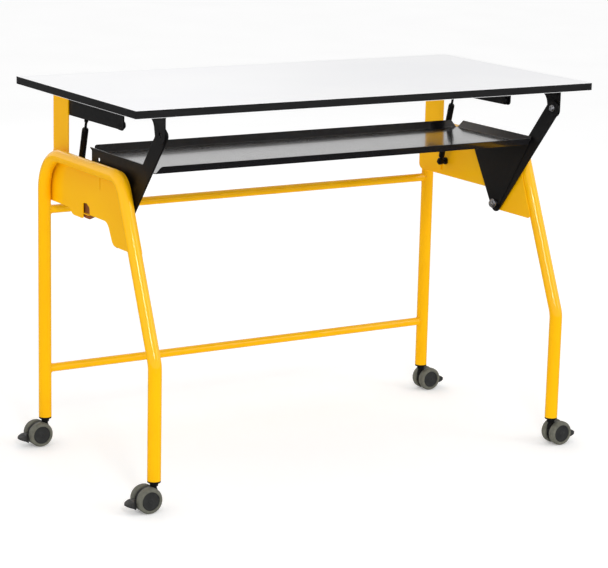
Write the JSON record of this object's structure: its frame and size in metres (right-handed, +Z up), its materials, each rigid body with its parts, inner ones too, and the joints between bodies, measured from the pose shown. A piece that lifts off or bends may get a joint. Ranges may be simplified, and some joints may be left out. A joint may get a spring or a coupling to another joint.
{
  "type": "drafting table",
  "caption": "Mobile drafting table: white laminate top that lifts and tilts on a linkage with gas struts, hanging pencil tray, bent yellow tube frame with cross rails, twin-wheel casters.",
  "frame": {"origin": "centre of the footprint on the floor", "axes": "+X along the long side to the user's right, +Y away from the user, +Z up"},
  "size_m": [1.222, 0.605, 0.88],
  "materials": {
    "yellow_paint": "gloss powder coat",
    "black_metal": "satin powder coat",
    "black_gloss": "gloss powder coat",
    "laminate_white": "satin laminate",
    "core_black": "smooth matt edge",
    "steel": "zinc plated",
    "lever_brown": "satin",
    "caster_tread": "soft grey tread on a grey disc",
    "caster_dark": "satin"
  },
  "bodies": {
    "frame": {"side_frame_left": "yellow_paint", "side_frame_right": "yellow_paint", "side_plate_left": "yellow_paint", "side_plate_right": "yellow_paint", "lower_rail": "yellow_paint", "upper_rail": "yellow_paint", "release_lever_pin": "steel", "strut_lower_stud_left": "steel", "strut_lower_stud_right": "steel", "link_rear_pin_left": "steel", "link_rear_pin_right": "steel", "arm_pivot_bolt_left": "steel", "arm_pivot_bolt_right": "steel", "caster_stem_front_left": "caster_dark", "caster_stem_front_right": "caster_dark", "caster_stem_rear_left": "caster_dark", "caster_stem_rear_right": "caster_dark"},
    "lift_links": {"lift_link_left": "black_metal", "lift_link_right": "black_metal", "link_front_pin_left": "steel", "link_front_pin_right": "steel"},
    "tabletop": {"top_core": "core_black", "top_laminate": "laminate_white", "bottom_laminate": "laminate_white", "top_bracket_left": "black_metal", "top_bracket_right": "black_metal", "link_bracket_left": "black_metal", "link_bracket_right": "black_metal"},
    "swing_frame": {"swing_arm_left": "black_metal", "swing_arm_right": "black_metal", "arm_top_bolt_left": "steel", "arm_top_bolt_right": "steel", "tray": "black_gloss"},
    "strut_cylinders": {"strut_cylinder_left": "black_metal", "strut_cylinder_right": "black_metal"},
    "strut_rods": {"strut_rod_left": "black_metal", "strut_rod_right": "black_metal", "strut_upper_stud_left": "steel", "strut_upper_stud_right": "steel"},
    "release_lever": {"release_lever": "lever_brown"},
    "caster_front_left": {"caster_body_front_left": "caster_dark", "caster_axle_front_left": "steel"},
    "wheel_front_left_a": {"caster_wheel_front_left_a": "caster_tread"},
    "wheel_front_left_b": {"caster_wheel_front_left_b": "caster_tread"},
    "pedal_front_left": {"caster_pedal_front_left": "caster_dark"},
    "caster_front_right": {"caster_body_front_right": "caster_dark", "caster_axle_front_right": "steel"},
    "wheel_front_right_a": {"caster_wheel_front_right_a": "caster_tread"},
    "wheel_front_right_b": {"caster_wheel_front_right_b": "caster_tread"},
    "pedal_front_right": {"caster_pedal_front_right": "caster_dark"},
    "caster_rear_left": {"caster_body_rear_left": "caster_dark", "caster_axle_rear_left": "steel"},
    "wheel_rear_left_a": {"caster_wheel_rear_left_a": "caster_tread"},
    "wheel_rear_left_b": {"caster_wheel_rear_left_b": "caster_tread"},
    "pedal_rear_left": {"caster_pedal_rear_left": "caster_dark"},
    "caster_rear_right": {"caster_body_rear_right": "caster_dark", "caster_axle_rear_right": "steel"},
    "wheel_rear_right_a": {"caster_wheel_rear_right_a": "caster_tread"},
    "wheel_rear_right_b": {"caster_wheel_rear_right_b": "caster_tread"},
    "pedal_rear_right": {"caster_pedal_rear_right": "caster_dark"}
  },
  "joints": [
    {"name": "lift", "type": "hinge", "parent": "frame", "child": "lift_links", "pos_m": [0, 0.232, 0.83], "axis": [-1, 0, 0], "range_deg": [0, 30]},
    {"name": "top_tilt", "type": "hinge", "parent": "lift_links", "child": "tabletop", "pos_m": [0, -0.072, 0.814], "axis": [1, 0, 0], "range_deg": [0, 67]},
    {"name": "arm_swing", "type": "hinge", "parent": "frame", "child": "swing_frame", "pos_m": [0, -0.051, 0.557], "axis": [-1, 0, 0], "range_deg": [0, 13.6]},
    {"name": "strut_swing", "type": "hinge", "parent": "frame", "child": "strut_cylinders", "pos_m": [0, 0.173, 0.627], "axis": [-1, 0, 0], "range_deg": [0, 4.5]},
    {"name": "strut_slide", "type": "slide", "parent": "strut_cylinders", "child": "strut_rods", "axis": [0, -0.2524, 0.9676], "range_m": [0, 0.0538]},
    {"name": "lever_squeeze", "type": "hinge", "parent": "frame", "child": "release_lever", "pos_m": [-0.5179, 0.148, 0.598], "axis": [-1, 0, 0], "range_deg": [0, 4], "stiffness_Nm_per_rad": 3},
    {"name": "swivel_front_left", "type": "hinge", "parent": "frame", "child": "caster_front_left", "pos_m": [-0.541, -0.2785, 0.05], "axis": [0, 0, 1], "continuous": true},
    {"name": "roll_front_left_a", "type": "hinge", "parent": "caster_front_left", "child": "wheel_front_left_a", "pos_m": [-0.5595, -0.294, 0.0292], "axis": [0, 1, 0], "continuous": true},
    {"name": "roll_front_left_b", "type": "hinge", "parent": "caster_front_left", "child": "wheel_front_left_b", "pos_m": [-0.5595, -0.263, 0.0292], "axis": [0, 1, 0], "continuous": true},
    {"name": "brake_front_left", "type": "hinge", "parent": "caster_front_left", "child": "pedal_front_left", "pos_m": [-0.5595, -0.2785, 0.0292], "axis": [0, -1, 0], "range_deg": [0, 12]},
    {"name": "swivel_front_right", "type": "hinge", "parent": "frame", "child": "caster_front_right", "pos_m": [0.541, -0.2785, 0.05], "axis": [0, 0, 1], "continuous": true},
    {"name": "roll_front_right_a", "type": "hinge", "parent": "caster_front_right", "child": "wheel_front_right_a", "pos_m": [0.5595, -0.263, 0.0292], "axis": [0, 1, 0], "continuous": true},
    {"name": "roll_front_right_b", "type": "hinge", "parent": "caster_front_right", "child": "wheel_front_right_b", "pos_m": [0.5595, -0.294, 0.0292], "axis": [0, 1, 0], "continuous": true},
    {"name": "brake_front_right", "type": "hinge", "parent": "caster_front_right", "child": "pedal_front_right", "pos_m": [0.5595, -0.2785, 0.0292], "axis": [0, 1, 0], "range_deg": [0, 12]},
    {"name": "swivel_rear_left", "type": "hinge", "parent": "frame", "child": "caster_rear_left", "pos_m": [-0.541, 0.2785, 0.05], "axis": [0, 0, 1], "continuous": true},
    {"name": "roll_rear_left_a", "type": "hinge", "parent": "caster_rear_left", "child": "wheel_rear_left_a", "pos_m": [-0.5595, 0.263, 0.0292], "axis": [0, 1, 0], "continuous": true},
    {"name": "roll_rear_left_b", "type": "hinge", "parent": "caster_rear_left", "child": "wheel_rear_left_b", "pos_m": [-0.5595, 0.294, 0.0292], "axis": [0, 1, 0], "continuous": true},
    {"name": "brake_rear_left", "type": "hinge", "parent": "caster_rear_left", "child": "pedal_rear_left", "pos_m": [-0.5595, 0.2785, 0.0292], "axis": [0, -1, 0], "range_deg": [0, 12]},
    {"name": "swivel_rear_right", "type": "hinge", "parent": "frame", "child": "caster_rear_right", "pos_m": [0.541, 0.2785, 0.05], "axis": [0, 0, 1], "continuous": true},
    {"name": "roll_rear_right_a", "type": "hinge", "parent": "caster_rear_right", "child": "wheel_rear_right_a", "pos_m": [0.5595, 0.294, 0.0292], "axis": [0, 1, 0], "continuous": true},
    {"name": "roll_rear_right_b", "type": "hinge", "parent": "caster_rear_right", "child": "wheel_rear_right_b", "pos_m": [0.5595, 0.263, 0.0292], "axis": [0, 1, 0], "continuous": true},
    {"name": "brake_rear_right", "type": "hinge", "parent": "caster_rear_right", "child": "pedal_rear_right", "pos_m": [0.5595, 0.2785, 0.0292], "axis": [0, 1, 0], "range_deg": [0, 12]}
  ],
  "couplings": [
    {"joint": "top_tilt", "follows": "lift", "ratio": 2.2332},
    {"joint": "arm_swing", "follows": "lift", "ratio": 0.4518},
    {"joint": "strut_swing", "follows": "lift", "ratio": 0.1476},
    {"joint": "strut_slide", "follows": "lift", "m_per_rad": 0.10263}
  ]
}
